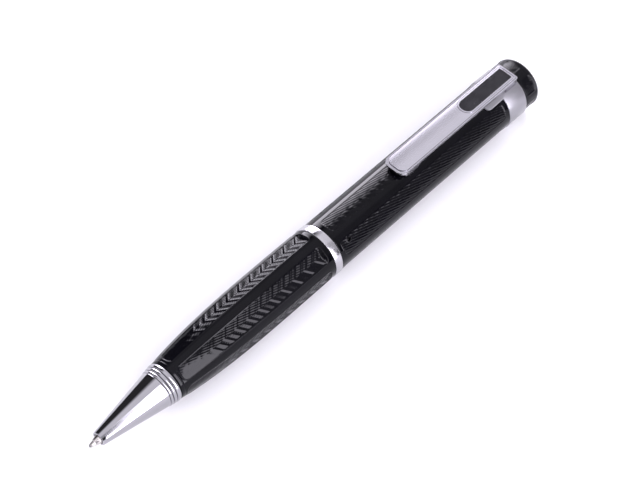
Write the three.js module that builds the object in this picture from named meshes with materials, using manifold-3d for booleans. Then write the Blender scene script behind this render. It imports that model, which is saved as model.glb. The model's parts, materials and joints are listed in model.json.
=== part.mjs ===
// Ballpoint pen with a hidden video camera, in millimetres.
// Every piece is drawn about the pen's own axis: +X runs from the tip to the crown and +Z points
// up through the clip. The last group lifts the pen on to the surface it lies on.
import * as THREE from 'three';
import { mergeVertices } from 'three/addons/utils/BufferGeometryUtils.js';
import Module from 'manifold-3d';

const wasm = await Module();
wasm.setup();

const DEGREE = Math.PI / 180;

// Outer envelope.
const BARREL_R = 6.5;
const BAND_R = 6.7;
const BAND_SIDES = 24;
const TIP_X = -73;
const CROWN_END_X = 70;
const CENTRE_X = (TIP_X + CROWN_END_X) / 2;
const AXIS_HEIGHT = BAND_R * Math.cos(Math.PI / BAND_SIDES);

// Stations along the axis.
const NOSE_RIM_X = -70.3;
const NOSE_BACK_X = -53.25;
const COLLAR_FRONT_X = -53.2;
const COLLAR_BACK_X = -50.4;
const LOWER_FRONT_X = -50.3;
const LOWER_BACK_X = -3.2;
const CENTRE_BAND_FRONT_X = -3.15;
const CENTRE_BAND_BACK_X = -1;
const UPPER_FRONT_X = -0.95;
const UPPER_BACK_X = 58.35;
const UPPER_NECK_BACK_X = 60.2;
const CLIP_BAND_FRONT_X = 58.4;
const CLIP_BAND_BACK_X = 64.6;

// Clearances.
const RUNNING = 0.05;
const SEAT = 0.05;

// Twist mechanism: half a turn of the lower barrel draws the refill in by REFILL_TRAVEL.
const TWIST_DEG = 180;
const REFILL_TRAVEL = 5;
const PIN_R = 0.5;
const PIN_X = -32;
const PIN_TOP_Z = 4.3;
const SLOT_HALF = 0.65;

// Lower barrel: a long swell with six flat panels.
const SWELL_CENTRE_X = -18;
const SWELL_R = 6.55;
const SWELL_RATE = 1.73e-4;
const SWELL_POWER = 2.64;
const PANEL_COUNT = 6;
const PANEL_HALF_DEG = 20;
const PANEL_PHASE_DEG = -24;
const PANEL_FRONT_X = -48.6;
const PANEL_BACK_X = -6;
const PANEL_RUN_OUT = 2.4;

// Clip.
const CLIP_HALF_WIDTH = 3.05;
const CLIP_TIP_X = 22.3;
const CLIP_ROOT_X = 64.2;
const CLIP_TOP_Z = 8.3;
const CLIP_UNDER_Z = 7.35;
const CLIP_PAD_X = 59.9;
const CLIP_CORNER_R = 1.75;
const WINDOW_FRONT_X = 47;
const WINDOW_BACK_X = 63.1;
const WINDOW_HALF = 1.9;
const WINDOW_FLOOR_Z = 7.75;

// Camera and electronics.
const LENS_X = 56;
const LENS_HOLE_R = 1.1;
const MIC_X = 2.7;
const MIC_DEG = 46;
const BOARD_BOTTOM_Z = -0.35;
const BOARD_TOP_Z = 0.45;
const SOLDER_GAP = 0.05;

const materials = {
  lacquer: new THREE.MeshStandardMaterial({ color: 0x17171a, roughness: 0.18, metalness: 0 }),
  chrome: new THREE.MeshStandardMaterial({ color: 0xd2d0da, roughness: 0.08, metalness: 1 }),
  satin: new THREE.MeshStandardMaterial({ color: 0xc4c2cc, roughness: 0.28, metalness: 1 }),
  tinted: new THREE.MeshStandardMaterial({ color: 0x1c1c20, roughness: 0.12, metalness: 0 }),
  brass: new THREE.MeshStandardMaterial({ color: 0xb08d4f, roughness: 0.35, metalness: 1 }),
  steel: new THREE.MeshStandardMaterial({ color: 0x9b9a98, roughness: 0.3, metalness: 1 }),
  tungsten: new THREE.MeshStandardMaterial({ color: 0x6f6f72, roughness: 0.15, metalness: 1 }),
  ink: new THREE.MeshStandardMaterial({ color: 0x0b0b18, roughness: 0.3, metalness: 0 }),
  refill: new THREE.MeshStandardMaterial({ color: 0xb9b9b4, roughness: 0.3, metalness: 1 }),
  acetal: new THREE.MeshStandardMaterial({ color: 0xe4e2da, roughness: 0.5, metalness: 0 }),
  moulding: new THREE.MeshStandardMaterial({ color: 0x26262a, roughness: 0.55, metalness: 0 }),
  rubber: new THREE.MeshStandardMaterial({ color: 0x141414, roughness: 0.9, metalness: 0 }),
  board: new THREE.MeshStandardMaterial({ color: 0x14532d, roughness: 0.45, metalness: 0 }),
  chip: new THREE.MeshStandardMaterial({ color: 0x1b1b1d, roughness: 0.5, metalness: 0 }),
  ceramic: new THREE.MeshStandardMaterial({ color: 0xa58a63, roughness: 0.6, metalness: 0 }),
  foil: new THREE.MeshStandardMaterial({ color: 0xb5b8bc, roughness: 0.35, metalness: 1 }),
  foam: new THREE.MeshStandardMaterial({ color: 0x33333a, roughness: 0.95, metalness: 0 }),
  gold: new THREE.MeshStandardMaterial({ color: 0xd4a640, roughness: 0.25, metalness: 1 }),
  amberFilm: new THREE.MeshStandardMaterial({ color: 0xa9692a, roughness: 0.4, metalness: 0 }),
  lensGlass: new THREE.MeshStandardMaterial({ color: 0x30384a, roughness: 0.05, metalness: 0 }),
  led: new THREE.MeshStandardMaterial({ color: 0xf0efe2, roughness: 0.3, metalness: 0 }),
  redWire: new THREE.MeshStandardMaterial({ color: 0xa81c1c, roughness: 0.5, metalness: 0 }),
  blackWire: new THREE.MeshStandardMaterial({ color: 0x161616, roughness: 0.5, metalness: 0 }),
};

const pen = new THREE.Group();
pen.position.set(-CENTRE_X, 0, AXIS_HEIGHT);

// ---------------------------------------------------------------- geometry helpers

// Welds the vertices, drops slivers and turns the surface so that it faces outwards.
function clean(geometry) {
  const bare = geometry.clone();
  bare.deleteAttribute('normal');
  bare.deleteAttribute('uv');
  const welded = mergeVertices(bare, 1e-4);
  const position = welded.attributes.position;
  const index = welded.index.array;
  const kept = [];
  let volume = 0;
  const corners = [new THREE.Vector3(), new THREE.Vector3(), new THREE.Vector3()];
  for (let i = 0; i < index.length; i += 3) {
    const [a, b, c] = [index[i], index[i + 1], index[i + 2]];
    if (a === b || b === c || c === a) continue;
    kept.push([a, b, c]);
    [a, b, c].forEach((vertex, k) => corners[k].fromBufferAttribute(position, vertex));
    volume += corners[0].dot(corners[1].clone().cross(corners[2]));
  }
  const faces = volume < 0 ? kept.map(([a, b, c]) => [a, c, b]) : kept;
  welded.setIndex(faces.flat());
  return welded;
}

function toSolid(geometry) {
  const shape = clean(geometry);
  return new wasm.Manifold(new wasm.Mesh({
    numProp: 3,
    vertProperties: Float32Array.from(shape.attributes.position.array),
    triVerts: Uint32Array.from(shape.index.array),
  }));
}

function toGeometry(solid) {
  const mesh = solid.getMesh();
  const geometry = new THREE.BufferGeometry();
  geometry.setAttribute('position', new THREE.BufferAttribute(mesh.vertProperties, 3));
  geometry.setIndex(new THREE.BufferAttribute(mesh.triVerts, 1));
  return geometry;
}

function cut(body, ...tools) {
  return toGeometry(tools.reduce((left, tool) => left.subtract(toSolid(tool)), toSolid(body)));
}

function join(...bodies) {
  return toGeometry(bodies.map(toSolid).reduce((sum, body) => sum.add(body)));
}

function common(body, ...others) {
  return toGeometry(others.reduce((left, other) => left.intersect(toSolid(other)), toSolid(body)));
}

// Spins a profile of [x, radius] points about the pen's axis.
function spin(profile, sides = 40, phase = 0) {
  const points = profile.map(([x, radius]) => new THREE.Vector2(radius, x));
  const onAxis = profile[0][1] === 0 && profile.at(-1)[1] === 0;
  if (!onAxis) points.push(points[0].clone());
  return new THREE.LatheGeometry(points, sides, phase).rotateZ(-Math.PI / 2);
}

function tube(x0, x1, inner, outer, sides, phase) {
  return spin([[x0, inner], [x0, outer], [x1, outer], [x1, inner]], sides, phase);
}

function rod(x0, x1, radius, sides) {
  return spin([[x0, 0], [x0, radius], [x1, radius], [x1, 0]], sides);
}

function block([x0, x1], [y0, y1], [z0, z1]) {
  return new THREE.BoxGeometry(x1 - x0, y1 - y0, z1 - z0)
    .translate((x0 + x1) / 2, (y0 + y1) / 2, (z0 + z1) / 2);
}

// A rectangle in plan, its corners rounded by one radius at the tip end and one at the crown end.
function planPrism([x0, x1], halfWidth, tipR, crownR, [z0, z1], curveSegments = 6) {
  const plan = new THREE.Shape();
  plan.moveTo(x0 + tipR, -halfWidth);
  plan.lineTo(x1 - crownR, -halfWidth);
  plan.absarc(x1 - crownR, -halfWidth + crownR, crownR, -Math.PI / 2, 0);
  plan.absarc(x1 - crownR, halfWidth - crownR, crownR, 0, Math.PI / 2);
  plan.absarc(x0 + tipR, halfWidth - tipR, tipR, Math.PI / 2, Math.PI);
  plan.absarc(x0 + tipR, -halfWidth + tipR, tipR, Math.PI, 1.5 * Math.PI);
  return new THREE.ExtrudeGeometry(plan, { depth: z1 - z0, bevelEnabled: false, curveSegments })
    .translate(0, 0, z0);
}

// A rounded rectangle seen along the axis, drawn out from x0 to x1.
function axialPrism([x0, x1], halfWidth, [z0, z1], cornerR) {
  const halfHeight = (z1 - z0) / 2;
  const section = new THREE.Shape();
  section.absarc(halfWidth - cornerR, halfHeight - cornerR, cornerR, 0, Math.PI / 2);
  section.absarc(-halfWidth + cornerR, halfHeight - cornerR, cornerR, Math.PI / 2, Math.PI);
  section.absarc(-halfWidth + cornerR, -halfHeight + cornerR, cornerR, Math.PI, 1.5 * Math.PI);
  section.absarc(halfWidth - cornerR, -halfHeight + cornerR, cornerR, 1.5 * Math.PI, 2 * Math.PI);
  section.closePath();
  return new THREE.ExtrudeGeometry(section, { depth: x1 - x0, bevelEnabled: false, curveSegments: 3 })
    .rotateX(Math.PI / 2)
    .rotateZ(Math.PI / 2)
    .translate(x0, 0, (z0 + z1) / 2);
}

// A cylinder square to the axis at x, leaning by angleDeg from +Z towards -Y, between two heights.
function radialRod(x, angleDeg, low, high, radius, sides = 16) {
  return new THREE.CylinderGeometry(radius, radius, high - low, sides)
    .rotateX(Math.PI / 2)
    .translate(0, 0, (low + high) / 2)
    .rotateX(angleDeg * DEGREE)
    .translate(x, 0, 0);
}

function wire(points, radius, steps) {
  const route = new THREE.CatmullRomCurve3(points.map((p) => new THREE.Vector3(...p)));
  const round = new THREE.Shape().absarc(0, 0, radius, 0, 2 * Math.PI);
  return new THREE.ExtrudeGeometry(round, { steps, extrudePath: route, curveSegments: 4 });
}

function add(name, geometry, material) {
  const shape = clean(geometry);
  shape.computeVertexNormals();
  const mesh = new THREE.Mesh(shape, material);
  mesh.name = name;
  pen.add(mesh);
}

// ---------------------------------------------------------------- lower half

// Radius of the lower barrel before its flat panels are taken off.
function swell(x) {
  const dropFront = SWELL_RATE * Math.abs(x - SWELL_CENTRE_X) ** SWELL_POWER;
  const backShare = (x - SWELL_CENTRE_X) / (LOWER_BACK_X - SWELL_CENTRE_X);
  return x < SWELL_CENTRE_X ? SWELL_R - dropFront : SWELL_R - (SWELL_R - BARREL_R) * backShare ** 2;
}

// 0 on the plain ends of the lower barrel, 1 where its panels are at full depth.
function panelShare(x) {
  const run = Math.min(x - PANEL_FRONT_X, PANEL_BACK_X - x) / PANEL_RUN_OUT;
  return Math.sqrt(THREE.MathUtils.clamp(run, 0, 1));
}

function lowerRadius(x, angleDeg) {
  const pitch = 360 / PANEL_COUNT;
  const offset = angleDeg - PANEL_PHASE_DEG;
  const fromCentre = offset - pitch * Math.round(offset / pitch);
  const round = swell(x);
  if (Math.abs(fromCentre) > PANEL_HALF_DEG) return round;
  const flat = round * Math.cos(PANEL_HALF_DEG * DEGREE) / Math.cos(fromCentre * DEGREE);
  return round - (round - flat) * panelShare(x);
}

function lowerBore(x) {
  const profile = [
    [LOWER_FRONT_X, 4], [-44, 4], [-36.1, 5.3],
    [-20.5, 5.3], [-20.3, 5.6], [LOWER_BACK_X, 5.6],
  ];
  const next = profile.findIndex(([station]) => station >= x);
  if (next <= 0) return profile[0][1];
  const [x0, r0] = profile[next - 1];
  const [x1, r1] = profile[next];
  return r0 + (r1 - r0) * (x - x0) / (x1 - x0);
}

// A tube whose outside follows lowerRadius and whose inside follows lowerBore.
function lowerBarrelShell() {
  const stations = [
    LOWER_FRONT_X, PANEL_FRONT_X, -48, -47.2, -46.2, -44, -40, -36.1, -32, -27, -22,
    -20.5, -20.3, -18, -13, -8.4, -7.4, -6.6, PANEL_BACK_X, LOWER_BACK_X,
  ];
  const angles = [];
  for (let panel = 0; panel < PANEL_COUNT; panel += 1) {
    const centre = PANEL_PHASE_DEG + panel * 360 / PANEL_COUNT;
    angles.push(centre - PANEL_HALF_DEG, centre - 7, centre + 7, centre + PANEL_HALF_DEG);
    angles.push(centre + 180 / PANEL_COUNT);
  }
  const turn = angles.length;
  const positions = [];
  const index = [];
  const place = (x, angleDeg, radius) => {
    const angle = angleDeg * DEGREE;
    positions.push(x, -radius * Math.sin(angle), radius * Math.cos(angle));
  };
  stations.forEach((x) => angles.forEach((angle) => place(x, angle, lowerRadius(x, angle))));
  stations.forEach((x) => angles.forEach((angle) => place(x, angle, lowerBore(x))));
  const innerStart = stations.length * turn;
  const quad = (a, b, c, d) => index.push(a, b, c, a, c, d);
  for (let i = 0; i < stations.length - 1; i += 1) {
    for (let j = 0; j < turn; j += 1) {
      const next = (j + 1) % turn;
      quad(i * turn + j, (i + 1) * turn + j, (i + 1) * turn + next, i * turn + next);
      const inner = innerStart + i * turn;
      quad(inner + j, inner + next, inner + turn + next, inner + turn + j);
    }
  }
  const lastRow = (stations.length - 1) * turn;
  for (let j = 0; j < turn; j += 1) {
    const next = (j + 1) % turn;
    quad(j, next, innerStart + next, innerStart + j);
    quad(lastRow + next, lastRow + j, innerStart + lastRow + j, innerStart + lastRow + next);
  }
  const geometry = new THREE.BufferGeometry();
  geometry.setAttribute('position', new THREE.Float32BufferAttribute(positions, 3));
  geometry.setIndex(index);
  return geometry;
}

function buildLowerHalf() {
  add('lower_barrel', lowerBarrelShell(), materials.lacquer);

  const beads = [[-53.2, -52.42, 4.65], [-52.38, -51.52, 4.8], [-51.48, COLLAR_BACK_X, 4.95]];
  const grooveDepth = 0.3;
  const collar = [[COLLAR_BACK_X, 2.55], [COLLAR_FRONT_X, 2.55]];
  beads.forEach(([x0, x1, radius]) => {
    const rise = (x1 - x0) / 4;
    collar.push([x0, radius - grooveDepth], [x0 + rise, radius], [x1 - rise, radius]);
    collar.push([x1, radius - grooveDepth]);
  });
  add('collar', spin(collar, 48), materials.chrome);

  const noseSlope = 0.1634;
  const noseR = (x) => 2.05 + noseSlope * (x + 68.2);
  add('nose_cone', spin([
    [NOSE_RIM_X, 1.3], [NOSE_RIM_X, noseR(NOSE_RIM_X) - 0.2], [NOSE_RIM_X + 0.2, noseR(NOSE_RIM_X + 0.2)],
    [-53.5, noseR(-53.5)], [NOSE_BACK_X, noseR(NOSE_BACK_X) - 0.1], [NOSE_BACK_X, 2.45],
    [-46, 2.45], [-46, 1.9], [-65, 1.9], [-66, 1.3],
  ], 48), materials.chrome);

  add('nose_bush', tube(-50.2, -44.2, 2.5, 3.95, 32), materials.brass);

  const statorSlot = block([PIN_X - 1, PIN_X + REFILL_TRAVEL + 1], [-SLOT_HALF, SLOT_HALF], [2.5, 4.6]);
  add('cam_guide', cut(tube(-35.8, -20.6, 3, 5.2, 32), statorSlot), materials.acetal);
}

// ---------------------------------------------------------------- refill and its follower

function buildRefill() {
  const socketR = 0.37;
  add('refill_tip', spin([
    [-72.25, 0], [-72.25, socketR], [-72.7, socketR], [-72.7, 0.42], [-70.3, 1.12], [-69.5, 1.17],
    [-62, 1.17], [-62, 0.85], [-60.5, 0.85], [-60.5, 0],
  ], 24), materials.steel);
  const ballR = 0.35;
  const ball = new THREE.SphereGeometry(ballR, 16, 10).translate(TIP_X + ballR, 0, 0);
  add('tip_ball', ball, materials.tungsten);
  add('refill_tube', tube(-61.95, -36.2, 0.9, 1.17, 24), materials.refill);
  add('ink_column', rod(-60.3, -40, 0.85, 16), materials.ink);

  const pinHole = radialRod(PIN_X, 0, 0.1, 3, PIN_R + 0.05);
  add('cam_follower', cut(spin([
    [-36.1, 0], [-36.1, 1.25], [-38, 1.25], [-38, 2.1], [-28, 2.1], [-28, 0],
  ], 24), pinHole), materials.acetal);
  add('follower_pin', radialRod(PIN_X, 0, 0.3, PIN_TOP_Z, PIN_R), materials.steel);
}

// ---------------------------------------------------------------- twist core

// One slot along a helix: the pin's path as the lower barrel turns about the core.
function helixCutters() {
  const cutters = [];
  const stepDeg = 9;
  for (let turn = -stepDeg; turn <= TWIST_DEG + stepDeg; turn += stepDeg) {
    const x = PIN_X + REFILL_TRAVEL * turn / TWIST_DEG;
    cutters.push(radialRod(x, turn, 1.2, 3.4, SLOT_HALF, 12));
  }
  return cutters;
}

function buildTwistCore() {
  const cam = spin([
    [-34, 2.2], [-34, 2.9], [-20, 2.9], [-20, 5.45], [-1.05, 5.45], [-1.05, 5], [-18.5, 5], [-18.5, 2.2],
  ], 40);
  add('twist_rotor', cut(cam, ...helixCutters()), materials.brass);
  const phase = Math.PI / BAND_SIDES;
  const chamfer = 0.15;
  const bandBore = 5.53;
  add('centre_band', spin([
    [CENTRE_BAND_FRONT_X, bandBore],
    [CENTRE_BAND_FRONT_X, BAND_R - chamfer],
    [CENTRE_BAND_FRONT_X + chamfer, BAND_R],
    [CENTRE_BAND_BACK_X - chamfer, BAND_R],
    [CENTRE_BAND_BACK_X, BAND_R - chamfer],
    [CENTRE_BAND_BACK_X, bandBore],
  ], BAND_SIDES, phase), materials.chrome);
}

// ---------------------------------------------------------------- upper barrel and band

function buildUpperShell() {
  const shell = spin([
    [UPPER_FRONT_X, 5.7], [UPPER_FRONT_X, BARREL_R], [UPPER_BACK_X, BARREL_R], [UPPER_BACK_X, 6],
    [UPPER_NECK_BACK_X, 6], [UPPER_NECK_BACK_X, 5.7],
  ], 48);
  const lensHole = radialRod(LENS_X, 0, 4, 9, LENS_HOLE_R);
  const micHole = radialRod(MIC_X, MIC_DEG, 4, 9, 0.45, 12);
  add('upper_barrel', cut(shell, lensHole, micHole), materials.lacquer);

  const skirtBore = 6.51;
  const neckBore = 6.12;
  const chamfer = 0.15;
  const stepX = 60.4;
  const ring = spin([
    [CLIP_BAND_FRONT_X, neckBore],
    [CLIP_BAND_FRONT_X, BAND_R - chamfer],
    [CLIP_BAND_FRONT_X + chamfer, BAND_R],
    [CLIP_BAND_BACK_X - chamfer, BAND_R],
    [CLIP_BAND_BACK_X, BAND_R - chamfer],
    [CLIP_BAND_BACK_X, skirtBore],
    [stepX, skirtBore],
    [stepX, neckBore],
  ], BAND_SIDES, Math.PI / BAND_SIDES);
  const saddleFrontX = 52.5;
  const saddleHalf = 3.65;
  const saddle = common(
    tube(saddleFrontX, 59, BARREL_R + 0.05, 6.95, 48),
    planPrism([saddleFrontX, 59], saddleHalf, 1.6, 0.01, [3, 9]),
  );
  add('clip_band', cut(join(ring, saddle), lensHole), materials.chrome);
}

// ---------------------------------------------------------------- clip

function buildClip() {
  const side = new THREE.Shape();
  const noseR = 0.7;
  side.moveTo(CLIP_ROOT_X, 6);
  side.lineTo(CLIP_ROOT_X, CLIP_TOP_Z);
  side.lineTo(CLIP_TIP_X + noseR, CLIP_TOP_Z);
  side.absarc(CLIP_TIP_X + noseR, CLIP_TOP_Z - noseR, noseR, Math.PI / 2, Math.PI);
  side.lineTo(CLIP_TIP_X, 6.9);
  side.quadraticCurveTo(CLIP_TIP_X + 0.4, 5.95, 25.3, 5.95);
  side.quadraticCurveTo(27.6, 5.95, 29.2, CLIP_UNDER_Z);
  side.lineTo(CLIP_PAD_X, CLIP_UNDER_Z);
  side.lineTo(CLIP_PAD_X, 6);
  const sideView = new THREE.ExtrudeGeometry(side, { depth: 8, bevelEnabled: false, curveSegments: 6 })
    .rotateX(Math.PI / 2)
    .translate(0, 4, 0);
  const plan = planPrism([CLIP_TIP_X, CLIP_ROOT_X], CLIP_HALF_WIDTH, CLIP_CORNER_R, 0.5, [5, 9]);
  const channel = planPrism([23.3, 29.4], 2.3, 1, 0.01, [5, CLIP_UNDER_Z]);
  const barrelRoom = rod(20, 45, BARREL_R + 0.08, 48);
  const bandRoom = rod(45, 66, BAND_R + 0.08, 48);
  const windowX = [WINDOW_FRONT_X, WINDOW_BACK_X];
  const recess = planPrism(windowX, WINDOW_HALF, WINDOW_HALF - 0.05, 0.2, [WINDOW_FLOOR_Z, 9]);
  const sight = radialRod(LENS_X, 0, 6, 9, LENS_HOLE_R);
  const blank = common(sideView, plan);
  add('clip_blade', cut(blank, channel, barrelRoom, bandRoom, recess, sight), materials.satin);

  const inset = 0.05;
  const paneHalf = WINDOW_HALF - inset;
  add('clip_window', planPrism(
    [WINDOW_FRONT_X + inset, WINDOW_BACK_X - inset], paneHalf, paneHalf - 0.05, 0.2,
    [WINDOW_FLOOR_Z + inset, CLIP_TOP_Z - 0.12],
  ), materials.tinted);
}

// ---------------------------------------------------------------- crown and switch

function buildCrown() {
  const crownR = 6.42;
  const rimR = 1.3;
  const profile = [[67.5, 0], [67.5, 5.6], [61.4, 5.6], [61.4, crownR]];
  const rimSteps = 6;
  for (let step = 0; step <= rimSteps; step += 1) {
    const angle = step / rimSteps * Math.PI / 2;
    profile.push([CROWN_END_X - rimR + rimR * Math.sin(angle), crownR - rimR + rimR * Math.cos(angle)]);
  }
  profile.push([CROWN_END_X, 0]);
  add('crown_cap', spin(profile, 48), materials.lacquer);
  add('crown_plunger', rod(62.55, 67.4, 1.3, 24), materials.acetal);

  const button = rod(61.7, 62.5, 1.5, 24);
  add('switch_button', button, materials.moulding);
  const buttonWell = rod(61.1, 63, 1.5 + RUNNING, 24);
  const can = axialPrism([60.35, 61.85], 2.25, [-2.25, 2.25], 0.2);
  add('switch_body', cut(can, buttonWell), materials.steel);
  add('switch_plug', rod(58.9, 60.3, 5.65, 40), materials.moulding);

  const springMeanR = 4.2;
  const springTurns = 3.5;
  const springFrontX = 60.65;
  const springBackX = 67.15;
  const coil = [];
  const stepsPerTurn = 14;
  const coilSteps = springTurns * stepsPerTurn;
  for (let step = 0; step <= coilSteps; step += 1) {
    const angle = step / stepsPerTurn * 2 * Math.PI;
    const x = springFrontX + (springBackX - springFrontX) * step / coilSteps;
    coil.push([x, springMeanR * Math.cos(angle), springMeanR * Math.sin(angle)]);
  }
  add('return_spring', wire(coil, 0.25, coilSteps * 2), materials.steel);
}

// ---------------------------------------------------------------- frame, battery and electronics

function buildCarrier() {
  const neck = spin([
    [-14, 4.3], [-14, 4.9], [-4.5, 4.9], [-4.5, 4.55], [-3.5, 4.55], [-3.5, 4.9],
    [0, 4.9], [0, 5.65], [1.05, 5.65], [1.05, 4.3],
  ], 40);
  const traySide = tube(0.9, 58.5, 5.2, 5.6, 40);
  const trayBottom = common(traySide, block([0.9, 58.5], [-6, 6], [-6, BOARD_BOTTOM_Z - SEAT]));
  const cameraSeat = block([52.6, 58.5], [-5.25, 5.25], [-1.2, BOARD_BOTTOM_Z - SEAT]);
  add('inner_carrier', join(neck, trayBottom, cameraSeat), materials.moulding);

  const ringR = 0.2;
  const ring = new THREE.TorusGeometry(4.77, ringR, 8, 40).rotateY(Math.PI / 2).translate(-4, 0, 0);
  add('neck_o_ring', ring, materials.rubber);
}

function buildSocket() {
  const halfWidth = 3.75;
  const halfHeight = 1.25;
  const wall = 0.3;
  const mouthX = -14.2;
  const backX = -8.4;
  const outer = axialPrism([mouthX, backX], halfWidth, [-halfHeight, halfHeight], 0.7);
  const innerZ = [wall - halfHeight, halfHeight - wall];
  const inner = axialPrism([mouthX - 1, backX + 1], halfWidth - wall, innerZ, 0.45);
  add('usb_shell', cut(outer, inner), materials.foil);
  const holeZ = [-halfHeight - RUNNING, halfHeight + RUNNING];
  const faceHole = axialPrism([-15, -12], halfWidth + RUNNING, holeZ, 0.7);
  add('neck_face', cut(rod(-14, -13, 4.25, 40), faceHole), materials.moulding);
  const tongue = block([-13.5, -9], [-2.2, 2.2], [-0.3, 0.3]);
  const base = block([-9.1, -8.5], [-3.2, 3.2], [-0.85, 0.85]);
  add('usb_tongue', join(tongue, base), materials.moulding);
  const contactPitch = 0.65;
  for (let i = 0; i < 5; i += 1) {
    const y = (i - 2) * contactPitch;
    add(`usb_contact_${i + 1}`, block([-13.2, -9.3], [y - 0.17, y + 0.17], [-0.45, -0.32]), materials.gold);
  }
}

function buildElectronics() {
  const boardZ = [BOARD_BOTTOM_Z, BOARD_TOP_Z];
  add('main_board', join(
    block([2.6, 50], [-5.4, 5.4], boardZ),
    block([-8.3, 2.7], [-3.9, 3.9], boardZ),
  ), materials.board);

  const chipFoot = BOARD_TOP_Z + SOLDER_GAP;
  const onBoard = (name, x, y, length, width, height, material) => {
    const box = new THREE.BoxGeometry(length, width, height).translate(x, y, chipFoot + height / 2);
    add(name, box, material);
  };
  onBoard('video_processor', 15.5, 0, 7, 7, 1, materials.chip);
  onBoard('flash_memory', 26, 0, 8, 6, 0.9, materials.chip);
  onBoard('clock_crystal', 33.5, 0, 3.2, 2.5, 0.7, materials.foil);
  onBoard('power_regulator', 39, 1, 3, 1.7, 1, materials.chip);
  onBoard('status_led', -5.5, 2.2, 1.6, 0.8, 0.6, materials.led);
  [[8.5, 3.5], [8.5, 1.5], [36, -3.2], [42.5, -3.2]].forEach(([x, y], i) => {
    onBoard(`capacitor_${i + 1}`, x, y, 1.6, 0.8, 0.8, materials.ceramic);
  });

  add('battery_cell', axialPrism([8, 46], 3.25, [-3.85, -0.65], 0.9), materials.foil);
  add('battery_pad', block([12, 42], [-1.5, 1.5], [-4.9, -3.9]), materials.foam);
  [['battery_wire_plus', 2.3, materials.redWire], ['battery_wire_minus', -2.3, materials.blackWire]]
    .forEach(([name, y, material]) => {
      const route = [[46.3, y, -2], [48.5, y, -2], [51, y, -1.3], [51.1, y, 0.9], [48.8, y, 1.1]];
      add(name, wire(route, 0.25, 16), material);
    });

  const micFoot = radialRod(MIC_X, MIC_DEG, 1.2, 4.35, 1.45, 20);
  add('mic_boot', cut(micFoot, block([-2, 6], [-6, 6], [-3, BOARD_TOP_Z + SEAT])), materials.rubber);
  add('mic_capsule', radialRod(MIC_X, MIC_DEG, 4.4, 5.4, 1.25, 20), materials.foil);
}

function buildCamera() {
  add('image_sensor', block([53.6, 58.4], [-2.5, 2.5], [BOARD_BOTTOM_Z, 1.3]), materials.chip);
  const upright = (profile) => new THREE.LatheGeometry(profile.map(([r, z]) => new THREE.Vector2(r, z)), 24)
    .rotateX(Math.PI / 2)
    .translate(LENS_X, 0, 0);
  add('lens_holder', upright([
    [1, 1.35], [2.2, 1.35], [2.2, 4.9], [1.3, 4.9], [1.3, 3.9], [1, 3.9], [1, 1.35],
  ]), materials.moulding);
  add('camera_lens', upright([[0, 3.95], [1.25, 3.95], [1.25, 4.5], [0.85, 4.75], [0.4, 4.86], [0, 4.9]]),
    materials.lensGlass);
  add('camera_ribbon', block([50.05, 53.55], [-1.5, 1.5], [-0.3, -0.15]), materials.amberFilm);
  add('switch_ribbon', block([46.2, 58.85], [-0.8, 0.8], [-1.6, -1.45]), materials.amberFilm);
}

buildLowerHalf();
buildRefill();
buildTwistCore();
buildUpperShell();
buildClip();
buildCrown();
buildCarrier();
buildSocket();
buildElectronics();
buildCamera();

const group = new THREE.Group();
group.add(pen);

export default group;
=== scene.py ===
"""A pen with a hidden camera: engraved black lacquer, chrome bands and a satin clip, on white paper.

Lengths are in millimetres until a mesh is made, and then in metres. Stations along the pen count from
the middle of its length, as the frame does. Angles about the pen's axis count from the clip's side
(+Z) towards -Y.
"""

import json
import math

import bmesh
import bpy
import numpy as np
from mathutils import Matrix, Vector


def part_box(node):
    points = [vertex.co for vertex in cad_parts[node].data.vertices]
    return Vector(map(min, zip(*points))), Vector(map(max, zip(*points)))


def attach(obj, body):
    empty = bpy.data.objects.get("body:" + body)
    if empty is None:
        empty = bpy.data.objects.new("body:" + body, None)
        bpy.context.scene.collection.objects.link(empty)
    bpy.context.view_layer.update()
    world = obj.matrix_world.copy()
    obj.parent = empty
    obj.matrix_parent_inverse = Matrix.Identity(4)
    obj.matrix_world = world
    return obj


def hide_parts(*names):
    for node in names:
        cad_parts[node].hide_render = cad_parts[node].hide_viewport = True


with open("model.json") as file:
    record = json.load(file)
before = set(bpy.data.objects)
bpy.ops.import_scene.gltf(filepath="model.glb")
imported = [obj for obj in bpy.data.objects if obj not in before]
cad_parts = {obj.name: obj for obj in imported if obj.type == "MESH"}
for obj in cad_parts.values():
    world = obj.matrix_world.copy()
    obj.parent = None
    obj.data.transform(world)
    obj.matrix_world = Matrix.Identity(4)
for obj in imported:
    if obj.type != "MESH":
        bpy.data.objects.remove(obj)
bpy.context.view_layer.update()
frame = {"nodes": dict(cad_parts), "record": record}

MM = 0.001
COARSE = 1


def span(node):
    """Lowest and highest corner of a CAD node, in millimetres."""
    low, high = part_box(node)
    return [c / MM for c in low], [c / MM for c in high]


# ---------------------------------------------------------------- places taken from the frame

BAND_LOW, BAND_HIGH = span("centre_band")
AXIS_Z = (BAND_LOW[2] + BAND_HIGH[2]) / 2
TIP_X = span("tip_ball")[0][0]
REFILL_X = [corner[0] for corner in span("refill_tip")]
NOSE_X = [corner[0] for corner in span("nose_cone")]
COLLAR_X = [corner[0] for corner in span("collar")]
LOWER_X = [corner[0] for corner in span("lower_barrel")]
BAND_X = [BAND_LOW[0], BAND_HIGH[0]]
UPPER_X = [corner[0] for corner in span("upper_barrel")]
CLIP_BAND_X = [corner[0] for corner in span("clip_band")]
CLIP_LOW, CLIP_HIGH = span("clip_blade")
WINDOW_LOW, WINDOW_HIGH = span("clip_window")
CROWN_X = [corner[0] for corner in span("crown_cap")]

BARREL_R = 6.5
BARREL_NECK_R = 6.0
BARREL_BORE_R = 5.7
BAND_R = 6.64
BAND_EDGE = 0.16
BAND_FRONT_X = 59.9
CROWN_R = 6.42


def link_object(name, data):
    made = bpy.data.objects.new(name, data)
    bpy.context.scene.collection.objects.link(made)
    return made


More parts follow.
